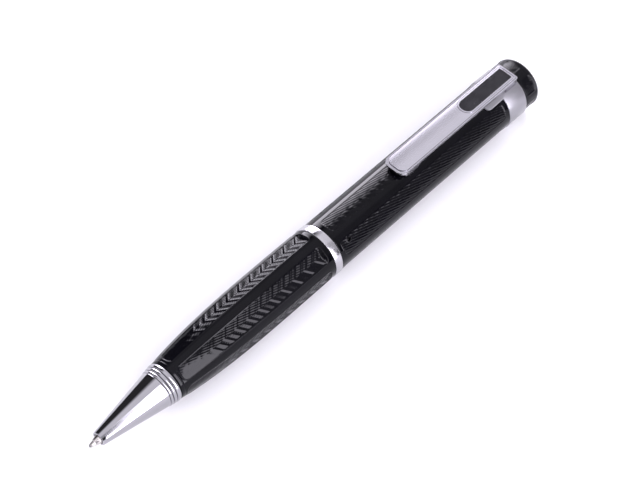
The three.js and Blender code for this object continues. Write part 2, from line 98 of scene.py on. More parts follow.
# ---------------------------------------------------------------- camera

CAMERA_AZIMUTH = -51.51
CAMERA_ELEVATION = 53.67
CAMERA_ROLL = 4.98
CAMERA_DISTANCE = 452.6
CAMERA_AIM = (2.06, 1.87)
LENS = 112.5


def make_camera():
    azimuth, elevation = math.radians(CAMERA_AZIMUTH), math.radians(CAMERA_ELEVATION)
    back = Vector((
        math.sin(azimuth) * math.cos(elevation),
        -math.cos(azimuth) * math.cos(elevation),
        math.sin(elevation),
    ))
    data = bpy.data.cameras.new("photo_camera")
    data.lens = LENS
    data.sensor_width = 36
    data.clip_start, data.clip_end = 0.01, 10
    camera = link_object("photo_camera", data)
    aim = Vector((*CAMERA_AIM, AXIS_Z)) * MM
    camera.location = aim + back * CAMERA_DISTANCE * MM
    camera.rotation_mode = "QUATERNION"
    level = (-back).to_track_quat("-Z", "Y")
    camera.rotation_quaternion = level @ Matrix.Rotation(math.radians(CAMERA_ROLL), 3, "Z").to_quaternion()
    bpy.context.scene.camera = camera


# ---------------------------------------------------------------- materials

class Graph:
    """Short calls for building one node tree."""

    def __init__(self, tree, place):
        self.tree = tree
        self.tree.nodes.clear()
        self.place = self.add("ShaderNodeTexCoord").outputs[place]

    def add(self, kind, **settings):
        node = self.tree.nodes.new(kind)
        for key, value in settings.items():
            setattr(node, key, value)
        return node

    def link(self, value, socket):
        if isinstance(value, bpy.types.NodeSocket):
            self.tree.links.new(value, socket)
        else:
            socket.default_value = value
        return socket

    def ramp(self, value, stops):
        node = self.add("ShaderNodeValToRGB")
        self.link(value, node.inputs["Fac"])
        elements = node.color_ramp.elements
        while len(elements) < len(stops):
            elements.new(0.5)
        for element, (position, colour) in zip(elements, stops):
            element.position = position
            element.color = colour if len(colour) == 4 else (*colour, 1)
        return node.outputs["Color"]

    def range(self, value, low, high, start=0.0, end=1.0, kind="LINEAR"):
        node = self.add("ShaderNodeMapRange", interpolation_type=kind)
        self.link(value, node.inputs["Value"])
        node.inputs["From Min"].default_value = start
        node.inputs["From Max"].default_value = end
        node.inputs["To Min"].default_value = low
        node.inputs["To Max"].default_value = high
        return node.outputs["Result"]

    def maths(self, operation, first, second=0.0):
        node = self.add("ShaderNodeMath", operation=operation)
        self.link(first, node.inputs[0])
        self.link(second, node.inputs[1])
        return node.outputs["Value"]


class Nodes(Graph):
    """A material with one principled shader."""

    def __init__(self, name):
        self.material = bpy.data.materials.new(name)
        self.material.use_nodes = True
        super().__init__(self.material.node_tree, "Object")
        self.shader = self.add("ShaderNodeBsdfPrincipled")
        output = self.add("ShaderNodeOutputMaterial")
        self.tree.links.new(self.shader.outputs["BSDF"], output.inputs["Surface"])

    def stretched(self, scale):
        mapping = self.add("ShaderNodeMapping")
        self.link(self.place, mapping.inputs["Vector"])
        mapping.inputs["Scale"].default_value = scale
        return mapping.outputs["Vector"]

    def noise(self, size_mm, detail=4.0, roughness=0.5, stretch=(1, 1, 1)):
        node = self.add("ShaderNodeTexNoise")
        self.link(self.stretched(stretch), node.inputs["Vector"])
        node.inputs["Scale"].default_value = 1 / (size_mm * MM)
        node.inputs["Detail"].default_value = detail
        node.inputs["Roughness"].default_value = roughness
        return node.outputs["Fac"]

    def spots(self, size_mm, feature="F1"):
        node = self.add("ShaderNodeTexVoronoi", feature=feature)
        self.link(self.place, node.inputs["Vector"])
        node.inputs["Scale"].default_value = 1 / (size_mm * MM)
        return node.outputs["Distance"]

    def bump(self, height, depth_mm, strength=1.0):
        node = self.add("ShaderNodeBump")
        self.link(height, node.inputs["Height"])
        node.inputs["Distance"].default_value = depth_mm * MM
        node.inputs["Strength"].default_value = strength
        self.tree.links.new(node.outputs["Normal"], self.shader.inputs["Normal"])

    def set(self, **values):
        for key, value in values.items():
            self.link(value, self.shader.inputs[key.replace("_", " ")])


def shade(colour, factor):
    return tuple(min(1.0, channel * factor) for channel in colour)


def lacquer(name, colour=(0.002, 0.0019, 0.003), gloss=0.06):
    """Black lacquer: faint orange peel and a haze of fine wiping marks along the pen."""
    n = Nodes(name)
    haze = n.noise(9, 5, 0.6)
    wipes = n.noise(0.5, 3, 0.6, stretch=(0.08, 1, 1))
    n.set(
        Base_Color=n.ramp(haze, [(0.35, colour), (0.75, shade(colour, 1.9))]),
        Roughness=n.range(n.maths("MULTIPLY", haze, wipes), gloss * 0.7, gloss * 1.9, 0.1, 0.45),
        Specular_IOR_Level=0.13,
    )
    n.bump(n.noise(1.6, 2, 0.4), 0.003)
    return n.material


def chrome(name, colour=(0.40, 0.395, 0.42), gloss=0.06):
    """Polished plate: mirror bright, with a cloudy film and fine turning marks round the axis."""
    n = Nodes(name)
    film = n.noise(6, 4, 0.55)
    turning = n.noise(0.22, 2, 0.5, stretch=(1, 0.02, 0.02))
    n.set(
        Base_Color=n.ramp(film, [(0.3, shade(colour, 0.93)), (0.7, colour)]),
        Metallic=1.0,
        Roughness=n.range(film, gloss * 0.7, gloss * 1.6, 0.3, 0.7),
    )
    n.bump(turning, 0.0015)
    return n.material


def satin(name, colour=(0.50, 0.49, 0.53), gloss=0.22):
    """Satin plate with a faint, fine brushing along the pen."""
    n = Nodes(name)
    film = n.noise(7, 4, 0.5)
    brush = n.noise(0.07, 2, 0.5, stretch=(0.05, 1, 1))
    n.set(
        Base_Color=n.ramp(film, [(0.3, shade(colour, 0.97)), (0.72, colour)]),
        Metallic=1.0,
        Roughness=n.range(brush, gloss * 0.94, gloss * 1.08, 0.3, 0.7),
    )
    n.bump(brush, 0.0002)
    return n.material


def plastic(name, colour, gloss=0.45, grain_mm=0.12, relief_mm=0.006):
    """Moulded plastic, rubber, resin or film: fine grain and slightly uneven colour."""
    n = Nodes(name)
    cloud = n.noise(3, 4, 0.5)
    n.set(
        Base_Color=n.ramp(cloud, [(0.3, shade(colour, 0.82)), (0.7, shade(colour, 1.12))]),
        Roughness=n.range(cloud, gloss * 0.85, min(1.0, gloss * 1.2), 0.3, 0.7),
    )
    n.bump(n.noise(grain_mm, 2, 0.5), relief_mm)
    return n.material


def metal(name, colour, gloss=0.3, brush_mm=0.12, relief_mm=0.003):
    """Plain turned or drawn metal with marks round the axis and dull patches."""
    n = Nodes(name)
    patch = n.noise(2.4, 5, 0.6)
    marks = n.noise(brush_mm, 2, 0.5, stretch=(1, 0.05, 0.05))
    n.set(
        Base_Color=n.ramp(patch, [(0.3, shade(colour, 0.78)), (0.7, shade(colour, 1.08))]),
        Metallic=1.0,
        Roughness=n.range(patch, gloss * 0.8, min(1.0, gloss * 1.4), 0.3, 0.7),
    )
    n.bump(marks, relief_mm)
    return n.material


def smoked(name):
    """The dark pane in the clip: nearly black, a little of the grey plate behind showing as haze."""
    n = Nodes(name)
    cloud = n.noise(2.2, 4, 0.6)
    n.set(
        Base_Color=n.ramp(cloud, [(0.3, (0.007, 0.006, 0.009)), (0.7, (0.012, 0.011, 0.015))]),
        Roughness=n.range(cloud, 0.16, 0.3, 0.3, 0.7),
        Specular_IOR_Level=0.35,
    )
    n.bump(n.noise(0.3, 3, 0.5), 0.003)
    return n.material


def board(name):
    """Solder mask over copper tracks."""
    n = Nodes(name)
    tracks = n.spots(0.9, "DISTANCE_TO_EDGE")
    n.set(
        Base_Color=n.ramp(tracks, [(0.04, (0.05, 0.28, 0.11)), (0.09, (0.012, 0.1, 0.035))]),
        Roughness=n.range(n.noise(1.5), 0.3, 0.5),
    )
    n.bump(n.ramp(tracks, [(0.04, (1, 1, 1)), (0.09, (0, 0, 0))]), 0.02)
    return n.material


def glass(name):
    """Coated lens glass, solid dark with a violet cast in its coat."""
    n = Nodes(name)
    coat = n.noise(1.2, 2, 0.4)
    n.set(
        Base_Color=n.ramp(coat, [(0.3, (0.02, 0.02, 0.05)), (0.7, (0.045, 0.02, 0.07))]),
        Roughness=n.range(coat, 0.02, 0.05),
        Coat_Weight=1.0,
        Coat_Roughness=0.02,
    )
    return n.material


# ---------------------------------------------------------------- mesh helpers

def link_mesh(name, mesh, material, smooth=True):
    piece = link_object(name, mesh)
    mesh.materials.append(material)
    mesh.polygons.foreach_set("use_smooth", [smooth] * len(mesh.polygons))
    return piece


def sharpen(piece, angle_deg):
    """Splits the shading along edges sharper than angle_deg."""
    piece.data.set_sharp_from_angle(angle=math.radians(angle_deg))


def face_outwards(mesh):
    """Turns every face of a closed mesh outwards."""
    made = bmesh.new()
    made.from_mesh(mesh)
    bmesh.ops.recalc_face_normals(made, faces=made.faces)
    made.to_mesh(mesh)
    made.free()
    return mesh


def ring_mesh(name, rows, capped):
    """A mesh from rows of points round the axis. The rows close on themselves unless the ends are capped."""
    count, turn = rows.shape[:2]
    row = np.arange(count - 1 if capped else count)
    step = np.arange(turn)
    a = (row[:, None] * turn + step).ravel()
    b = (row[:, None] * turn + (step + 1) % turn).ravel()
    lift = ((row + 1) % count)[:, None] * turn
    c = (lift + (step + 1) % turn).ravel()
    d = (lift + step).ravel()
    faces = np.stack([a, b, c, d], axis=1).tolist()
    if capped:
        faces.append(list(range(turn))[::-1])
        faces.append([(count - 1) * turn + i for i in range(turn)])
    mesh = bpy.data.meshes.new(name)
    mesh.from_pydata((rows.reshape(-1, 3) * MM).tolist(), [], faces)
    return face_outwards(mesh)


def around(x, radius, angles):
    """Points at stations x and radii, both arrays that broadcast against angles in radians."""
    x, radius, angles = np.broadcast_arrays(x, radius, angles)
    return np.stack([x, -radius * np.sin(angles), AXIS_Z + radius * np.cos(angles)], axis=-1)


def turned(name, profile, material, segments=256, sharp_deg=28):
    """A piece turned from a profile of (x, radius). It is closed on the axis where the profile meets it."""
    profile = np.array(profile, dtype=float)
    capped = profile[0, 1] < 0.1 and profile[-1, 1] < 0.1
    angles = np.linspace(0, 2 * math.pi, segments, endpoint=False)
    rows = around(profile[:, :1], profile[:, 1:], angles[None, :])
    piece = link_mesh(name, ring_mesh(name, rows, capped), material)
    sharpen(piece, sharp_deg)
    return piece


def fillet(centre, radius, start_deg, end_deg, steps=6):
    """Points on an arc about (x, r). 0 degrees points along +x and 90 outwards."""
    angles = np.radians(np.linspace(start_deg, end_deg, steps + 1))
    return [(centre[0] + radius * math.cos(a), centre[1] + radius * math.sin(a)) for a in angles]


def rod_mesh(name, x0, x1, radius, segments=192):
    angles = np.linspace(0, 2 * math.pi, segments, endpoint=False)
    rows = around(np.array([[x0], [x1]]), np.full((2, 1), radius), angles[None, :])
    return ring_mesh(name, rows, True)


def grid_mesh(name, top, bottom):
    """A closed plate between two grids of points of the same size."""
    rows, columns = top.shape[:2]
    points = np.concatenate([top.reshape(-1, 3), bottom.reshape(-1, 3)]) * MM
    under = rows * columns
    faces = []
    for i in range(rows - 1):
        for j in range(columns - 1):
            a, b = i * columns + j, i * columns + j + 1
            c, d = b + columns, a + columns
            faces += [(a, b, c, d), (under + d, under + c, under + b, under + a)]
    rim = [(0, j) for j in range(columns)] + [(i, columns - 1) for i in range(1, rows)]
    rim += [(rows - 1, j) for j in range(columns - 2, -1, -1)] + [(i, 0) for i in range(rows - 2, 0, -1)]
    index = [i * columns + j for i, j in rim]
    for a, b in zip(index, index[1:] + index[:1]):
        faces.append((b, a, under + a, under + b))
    mesh = bpy.data.meshes.new(name)
    mesh.from_pydata(points.tolist(), [], faces)
    return face_outwards(mesh)


def extruded(name, points, faces, shift):
    """A closed solid swept by a shift from flat faces, given as lists of indices into points."""
    made = bmesh.new()
    corners = [made.verts.new([c * MM for c in point]) for point in points]
    flat = [made.faces.new([corners[i] for i in face]) for face in faces]
    raised = bmesh.ops.extrude_face_region(made, geom=flat)
    lifted = [v for v in raised["geom"] if isinstance(v, bmesh.types.BMVert)]
    bmesh.ops.translate(made, verts=lifted, vec=[c * MM for c in shift])
    bmesh.ops.recalc_face_normals(made, faces=made.faces)
    mesh = bpy.data.meshes.new(name)
    made.to_mesh(mesh)
    made.free()
    return mesh


def apply_modifiers(piece):
    depsgraph = bpy.context.evaluated_depsgraph_get()
    finished = bpy.data.meshes.new_from_object(piece.evaluated_get(depsgraph))
    piece.modifiers.clear()
    piece.data = finished


def boolean(piece, operation, mesh):
    other = link_object("boolean_tool", mesh)
    step = piece.modifiers.new("step", "BOOLEAN")
    step.operation = operation
    step.solver = "EXACT"
    step.object = other
    apply_modifiers(piece)
    bpy.data.objects.remove(other)


def bevel(piece, width_mm, segments=3, angle_deg=35):
    step = piece.modifiers.new("soft_edges", "BEVEL")
    step.width = width_mm * MM
    step.segments = segments
    step.limit_method = "ANGLE"
    step.angle_limit = math.radians(angle_deg)
    step.harden_normals = True


def groove(distance, width):
    """1 in the middle of a groove of that width, falling to 0 at its edges."""
    return np.clip(1 - np.abs(distance) / (width / 2), 0, 1)


def smoothstep(low, high, value):
    t = np.clip((value - low) / (high - low), 0, 1)
    return t * t * (3 - 2 * t)


def repeat(value, pitch):
    """Distance from the nearest multiple of pitch, and the number of that multiple."""
    number = np.round(value / pitch)
    return value - number * pitch, number


# ---------------------------------------------------------------- engraved barrels

PANELS = 6
PANEL_HALF_DEG = 20
PANEL_CORNER = 1.2
PANEL_EASE = 1.2
BEAD_WIDTH = 0.36
BEAD_INSET = 0.02
RELIEF_FROM, RELIEF_FULL = 0.16, 0.42
CHEVRON_PITCH = 3.62
CHEVRON_SLOPE = 0.9
# heights along one chevron step: a bar rises to 0, then a space cut with fine lines rises to 0
STEP_PHASE = (-1.81, -1.37, -0.35, 0.42, 1.15, 1.81)
STEP_HEIGHT = (-0.022, 0.0, -0.075, 0.0, -0.055, -0.022)
# the bar's half width and where it has ended, and how far the fine lines fade on it
BAR_HALF, BAR_FADE = 0.5, 0.75
BAR_CLEARING, BAR_CLEARING_MOST = 1.2, 0.65
RIB_WIDTH, RIB_DEPTH = 0.26, 0.035
HATCH_SLOPE = 0.28
HATCH_PEAK = 0.72
# fine lines: their pitch, their depth, and whether the two legs of a chevron mirror each other
BOLD_HATCH = (0.52, 0.057, True)
FAINT_HATCH = (0.62, 0.075, False)
LOWER_ENGRAVING = dict(phase_deg=-24, flatness=0.75, apex_x=-6.0, boldness=0.9)
UPPER_ENGRAVING = dict(
    phase_deg=-4.0, flatness=0.1, apex_x=5.6, boldness=0.25, hatch=FAINT_HATCH, bead_height=0.02,
)
CROWN_ENGRAVING = dict(phase_deg=-12.5, flatness=0.2, boldness=0.25)
# the engraving is faint at the nose end of the lower barrel and full from WORN_TO behind its front
WORN_SHARE = 0.2
WORN_FROM, WORN_TO = 6, 19
END_EASE = 0.12
TURN = 640 // COARSE
STEP_X = 0.11 * COARSE

# the lower barrel is widest at SWELL_CENTRE_X and curves in towards the nose
SWELL_CENTRE_X = -16.5
SWELL_R = 6.55
SWELL_RATE = 1.73e-4
SWELL_POWER = 2.64

MIC_X = 4.2
MIC_DEG = 46
MIC_R = 0.45
# the hole that the camera looks out of
LENS_X = 57.5
LENS_R = 1.1
HOLE_DEPTH = 0.75


def turn_angles():
    return np.linspace(0, 2 * math.pi, TURN, endpoint=False)


def chevrons(x, across, apex_x, boldness, hatch):
    """Relief of a panel: chevrons that point to the tip, with fine lines that are faint on the bars."""
    reach = np.abs(across)
    phase, _ = repeat(x - apex_x - CHEVRON_SLOPE * reach, CHEVRON_PITCH)
    wave = boldness * np.interp(phase, STEP_PHASE, STEP_HEIGHT)
    on_bar = smoothstep(-BAR_FADE, -BAR_HALF, phase) * (1 - smoothstep(BAR_HALF, BAR_FADE, phase))
    hatched = 1 - min(BAR_CLEARING_MOST, BAR_CLEARING * boldness) * on_bar
    pitch, depth, mirrored = hatch
    line = ((reach if mirrored else -across) + HATCH_SLOPE * x) / pitch
    scale = np.interp(line - np.floor(line), (0, HATCH_PEAK, 1), (0, 1, 0))
    rib = groove(across, RIB_WIDTH) * hatched
    return wave - hatched * depth * scale - RIB_DEPTH * rib


def panelled(
    x, angles, radius, ends, phase_deg, flatness, apex_x, boldness, hatch=BOLD_HATCH, bead_height=0.07,
):
    """Radius of a barrel with rounded panels, each a little flattened, edged by a fine bead and engraved."""
    offset, _ = repeat(angles - math.radians(phase_deg), 2 * math.pi / PANELS)
    half = math.radians(PANEL_HALF_DEG)
    held = np.clip(offset, -half, half)
    flat = radius * math.cos(half) / np.cos(held)
    across = radius * math.cos(half) * np.tan(held)
    from_end = np.minimum(x - ends[0], ends[1] - x)
    from_side = radius * (half - np.abs(offset))
    depth_in = np.minimum(from_end, from_side)
    at_corner = (from_end < PANEL_CORNER) & (from_side < PANEL_CORNER) & (depth_in > -PANEL_CORNER)
    reach = np.hypot(PANEL_CORNER - from_end, PANEL_CORNER - from_side)
    inside = np.where(at_corner, PANEL_CORNER - reach, depth_in)
    sink = flatness * smoothstep(0, PANEL_EASE, from_end) * (inside > 0)
    bead = bead_height * groove(inside - BEAD_INSET, BEAD_WIDTH)
    relief = chevrons(x, across, apex_x, boldness, hatch) * smoothstep(RELIEF_FROM, RELIEF_FULL, inside)
    return radius - (radius - flat) * sink + relief + bead


def ring_at(x, radius):
    return around(np.full((1, 1), x), np.full((1, 1), radius), turn_angles()[None, :])


def swell(x):
    front = SWELL_R - SWELL_RATE * np.abs(x - SWELL_CENTRE_X) ** SWELL_POWER
    share = (x - SWELL_CENTRE_X) / (LOWER_X[1] - SWELL_CENTRE_X)
    return np.where(x < SWELL_CENTRE_X, front, SWELL_R - (SWELL_R - BARREL_R) * share ** 2)


def make_lower_barrel(material):
    front, back = LOWER_X
    angles = turn_angles()[None, :]
    x = np.arange(front + END_EASE, back - 0.1, STEP_X)[:, None]
    round_r = swell(x)
    carved = panelled(x, angles, round_r, (front + 1.4, back - 1.25), **LOWER_ENGRAVING)
    worn = WORN_SHARE + (1 - WORN_SHARE) * smoothstep(front + WORN_FROM, front + WORN_TO, x)
    outer_r = round_r + (carved - round_r) * np.where(carved < round_r, worn, 1.0)
    front_groove = 0.09 * groove(x - (front + 0.95), 0.3)
    bore = [
        (back, 5.6), (back - 17.1, 5.6), (back - 17.3, 5.3),
        (back - 32.9, 5.3), (front + 6.3, 4.0), (front, 4.0),
    ]
    rows = [ring_at(front, float(swell(np.array(front))) - END_EASE)]
    rows += [around(x, outer_r - front_groove, angles)]
    rows += [ring_at(back - 0.03, BARREL_R - 0.04), ring_at(back, BARREL_R - END_EASE)]
    rows += [ring_at(station, radius) for station, radius in bore]
    name = "lower_barrel_lacquered"
    piece = link_mesh(name, ring_mesh(name, np.concatenate(rows), False), material)
    sharpen(piece, 60)
    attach(piece, "lower_half")
    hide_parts("lower_barrel")


def make_upper_barrel(material):
    front, back = UPPER_X[0], BAND_FRONT_X - 0.05
    angles = turn_angles()[None, :]
    x = np.arange(front + END_EASE, back, STEP_X)[:, None]
    ends = (front + 1.2, back - 1.0)
    carved = panelled(x, angles, np.full_like(x, BARREL_R), ends, **UPPER_ENGRAVING)
    mic = np.hypot(x - MIC_X, repeat(angles - math.radians(MIC_DEG), 2 * math.pi)[0] * BARREL_R)
    sight = np.hypot(x - LENS_X, repeat(angles, 2 * math.pi)[0] * BARREL_R)
    plain = smoothstep(MIC_R + 0.15, MIC_R + 0.4, mic)
    mic_hole = HOLE_DEPTH * (1 - smoothstep(MIC_R - 0.08, MIC_R + 0.06, mic))
    sight_hole = HOLE_DEPTH * (1 - smoothstep(LENS_R - 0.1, LENS_R, sight))
    outer_r = BARREL_R + (carved - BARREL_R) * plain - (mic_hole + sight_hole)
    rows = [ring_at(front, BARREL_R - END_EASE), ring_at(front + 0.04, BARREL_R - 0.03)]
    rows += [around(x, outer_r, angles), ring_at(back, BARREL_R - 0.05), ring_at(back, BARREL_NECK_R)]
    rows += [ring_at(UPPER_X[1], BARREL_NECK_R), ring_at(UPPER_X[1], BARREL_BORE_R)]
    rows += [ring_at(front, BARREL_BORE_R)]
    name = "upper_barrel_lacquered"
    piece = link_mesh(name, ring_mesh(name, np.concatenate(rows), False), material)
    sharpen(piece, 60)
    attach(piece, "camera_half")
    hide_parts("upper_barrel")


def make_crown(material):
    rim_r = 1.3
    front, back = CROWN_X
    straight = [(x, CROWN_R) for x in np.arange(front, back - rim_r, STEP_X)]
    rim = fillet((back - rim_r, CROWN_R - rim_r), rim_r, 90, 0, 14)
    end_face = [(back, radius) for radius in np.linspace(CROWN_R - rim_r, 0.05, 10)[1:]]
    # the inside has a boss for the plunger and, round it, room for the spring when the crown is pressed
    boss_r, bore_r = 2.4, 5.6
    boss_x, room_x = back - 2.5, back - 1.95
    inside = [(boss_x, 0.05), (boss_x, boss_r), (room_x, boss_r), (room_x, bore_r), (front, bore_r)]
    profile = np.array(inside + straight + rim + end_face)
    x, radius = profile[:, :1], profile[:, 1:]
    angles = turn_angles()[None, :]
    ends = (CLIP_BAND_X[1] + 0.25, back - rim_r + 0.25)
    carved = panelled(x, angles, radius, ends, apex_x=ends[0] + 0.6, **CROWN_ENGRAVING)
    rows = around(x, np.where(radius > CROWN_R - 0.05, carved, radius), angles)
    piece = link_mesh("crown_lacquered", ring_mesh("crown_lacquered", rows, True), material)
    sharpen(piece, 60)
    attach(piece, "crown")
    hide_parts("crown_cap")


# ---------------------------------------------------------------- turned metal pieces

def make_nose(material):
    front, back = NOSE_X[0], COLLAR_X[0] - 0.05
    slope = 0.1634
    rim_r = 1.71
    chamfer = 0.14
    bore_r, thread_r = 1.9, 2.45
    mouth_r = 1.3
    back_r = rim_r + slope * (back - front)
    profile = [(front, mouth_r)]
    profile += fillet((front + chamfer, rim_r - chamfer), chamfer, 180, 100, 5)
    for t in np.linspace(0.02, 0.985, 24):
        profile.append((front + t * (back - front), rim_r + slope * t * (back - front)))
    profile += fillet((back - 0.12, back_r - 0.14), 0.12, 80, 0, 4)
    profile += [(back, thread_r), (NOSE_X[1], thread_r), (NOSE_X[1], bore_r)]
    profile += [(front + 5.3, bore_r), (front + 4.3, mouth_r)]
    piece = turned("nose_cone_turned", profile, material, sharp_deg=35)
    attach(piece, "lower_half")
    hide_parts("nose_cone")


def make_collar(material):
    front = COLLAR_X[0]
    bore_r = 2.55
    bead_height, bead_fullness = 0.28, 0.6
    # each bead's middle, half width and radius
    beads = [(front + 0.39, 0.39, 4.65), (front + 1.25, 0.43, 4.8), (front + 2.26, 0.54, 4.95)]
    profile = [(COLLAR_X[1], bore_r), (front, bore_r)]
    for centre, half, radius in beads:
        for angle in np.radians(np.linspace(180, 0, 13)):
            bulge = bead_height * abs(math.sin(angle)) ** bead_fullness
            profile.append((centre + half * 0.98 * math.cos(angle), radius - bead_height + bulge))
    piece = turned("collar_turned", profile, material, sharp_deg=60)
    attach(piece, "lower_half")
    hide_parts("collar")


def band_profile(x0, x1, inside):
    """A band's profile: its inside, then its two rounded outer edges."""
    profile = list(inside)
    profile += fillet((x0 + BAND_EDGE, BAND_R - BAND_EDGE), BAND_EDGE, 180, 90, 5)
    profile += fillet((x1 - BAND_EDGE, BAND_R - BAND_EDGE), BAND_EDGE, 90, 0, 5)
    return profile


def make_centre_band(material):
    front, back = BAND_X
    bore_r = 5.53
    profile = band_profile(front, back, [(back, bore_r), (front, bore_r)])
    piece = turned("centre_band_turned", profile, material, sharp_deg=40)
    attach(piece, "twist_core")
    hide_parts("centre_band")


def make_clip_band(material):
    crown_room_r, neck_room_r = 6.51, 6.12
    step_x = BAND_FRONT_X + 2.0
    inside = [(CLIP_BAND_X[1], crown_room_r), (step_x, crown_room_r)]
    inside += [(step_x, neck_room_r), (BAND_FRONT_X, neck_room_r)]
    profile = band_profile(BAND_FRONT_X, CLIP_BAND_X[1], inside)
    ring = turned("clip_band_turned", profile, material, sharp_deg=40)
    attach(ring, "camera_half")
    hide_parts("clip_band")


def quarter_drop(radius, gap):
    """How far a rounded edge of that radius has fallen away at a gap in from its side."""
    return radius - np.sqrt(np.maximum(0, radius ** 2 - np.clip(radius - gap, 0, radius) ** 2))


def make_saddle(material):
    """The curved tab that runs forward from the clip band under the clip."""
    half_deg, corner = 33.5, 1.3
    front, back = CLIP_BAND_X[0], BAND_FRONT_X + 0.1
    low_r, high_r, edge_r = 6.53, 6.93, 0.16
    along = np.linspace(0, 1, 40)[:, None]
    across = np.linspace(-1, 1, 48)[None, :]
    from_side = math.radians(half_deg) * high_r * (1 - np.abs(across))
    pull = quarter_drop(corner, from_side)
    x = front + pull + along * (back - front - pull)
    angle = math.radians(half_deg) * across * np.ones_like(along)
    drop = quarter_drop(edge_r, np.minimum(x - front - pull, from_side * np.ones_like(along)))
    top = around(x, high_r - drop, angle)
    bottom = around(x, np.full_like(x, low_r), angle)
    tab = link_mesh("clip_saddle", grid_mesh("clip_saddle", top, bottom), material)
    sharpen(tab, 45)
    cut_sight_hole(tab)
    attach(tab, "camera_half")


def cut_sight_hole(piece):
    """Drills the hole that the camera looks out of."""
    drill = bpy.data.meshes.new("sight_drill")
    made = bmesh.new()
    bmesh.ops.create_cone(
        made, cap_ends=True, segments=48, radius1=LENS_R * MM, radius2=LENS_R * MM, depth=4 * MM,
        matrix=Matrix.Translation(Vector((LENS_X, 0, AXIS_Z + 7)) * MM),
    )
    made.to_mesh(drill)
    made.free()
    boolean(piece, "DIFFERENCE", drill)


# ---------------------------------------------------------------- clip

PRESSING_CORNERS = (1.9, 0.5)
PLATE_HEIGHT = 0.24
PLATE_INSET = 0.24
PLATE_TIP_INSET = 0.55
PLATE_CORNERS = (2.1, 0.35)
PLATE_CROWN_R = 18
SEAM_WIDTH = 0.16
BEZEL_GROOVE = (0.4, 0.58)
WINDOW_GAP = 0.05
CLIP_CLEARANCE = 0.08
LOBE_START = 1.2
LOBE_LENGTH = 5.4
SOFT_EDGE = 0.06


def rounded_plan(x0, x1, half, tip_r, root_r, steps=10):
    """Outline in plan, as (x, y), going round from the tip end's -Y corner."""
    corners = [
        ((x0 + tip_r, -half + tip_r), tip_r, 180, 270),
        ((x1 - root_r, -half + root_r), root_r, 270, 360),
        ((x1 - root_r, half - root_r), root_r, 0, 90),
        ((x0 + tip_r, half - tip_r), tip_r, 90, 180),
    ]
    outline = []
    for centre, radius, start, end in corners:
        outline += fillet(centre, radius, start, end, steps)
    return outline


def prism(name, outline, z0, z1):
    """A closed prism over an outline in plan."""
    return extruded(name, [(x, y, z0) for x, y in outline], [range(len(outline))], (0, 0, z1 - z0))


def side_prism(name, outline, half):
    """A closed prism across the pen over an outline of (x, z)."""
    return extruded(name, [(x, -half, z) for x, z in outline], [range(len(outline))], (0, 2 * half, 0))


def ring_prism(name, outer, inner, z0, z1):
    """A closed prism over the gap between two outlines in plan that have the same number of points."""
    count = len(outer)
    following = [(i + 1) % count for i in range(count)]
    faces = [(i, j, count + j, count + i) for i, j in enumerate(following)]
    return extruded(name, [(x, y, z0) for x, y in outer + inner], faces, (0, 0, z1 - z0))


def crowned_bar(name, x0, x1, half, z0, z1, radius):
    """A bar along the pen whose top is an arc of that radius across it."""
    section = [(y, z1 - radius + math.sqrt(radius ** 2 - y ** 2)) for y in np.linspace(-half, half, 25)]
    section += [(half, z0), (-half, z0)]
    return extruded(name, [(x0, y, z) for y, z in section], [range(len(section))], (x1 - x0, 0, 0))


def plate_plan(gap=0):
    """The face plate's outline, drawn in by a gap."""
    return rounded_plan(
        CLIP_LOW[0] + PLATE_TIP_INSET + gap,
        CLIP_HIGH[0] - PLATE_INSET - gap,
        CLIP_HIGH[1] - PLATE_INSET - gap,
        PLATE_CORNERS[0] - gap,
        PLATE_CORNERS[1] - gap,
    )


def window_plan(gap=0, root_r=0.2):
    """The window's outline, let out by a gap. Its tip end is nearly a half circle."""
    half = WINDOW_HIGH[1] + gap
    return rounded_plan(WINDOW_LOW[0] - gap, WINDOW_HIGH[0] + gap, half, half - 0.05, root_r, 14)


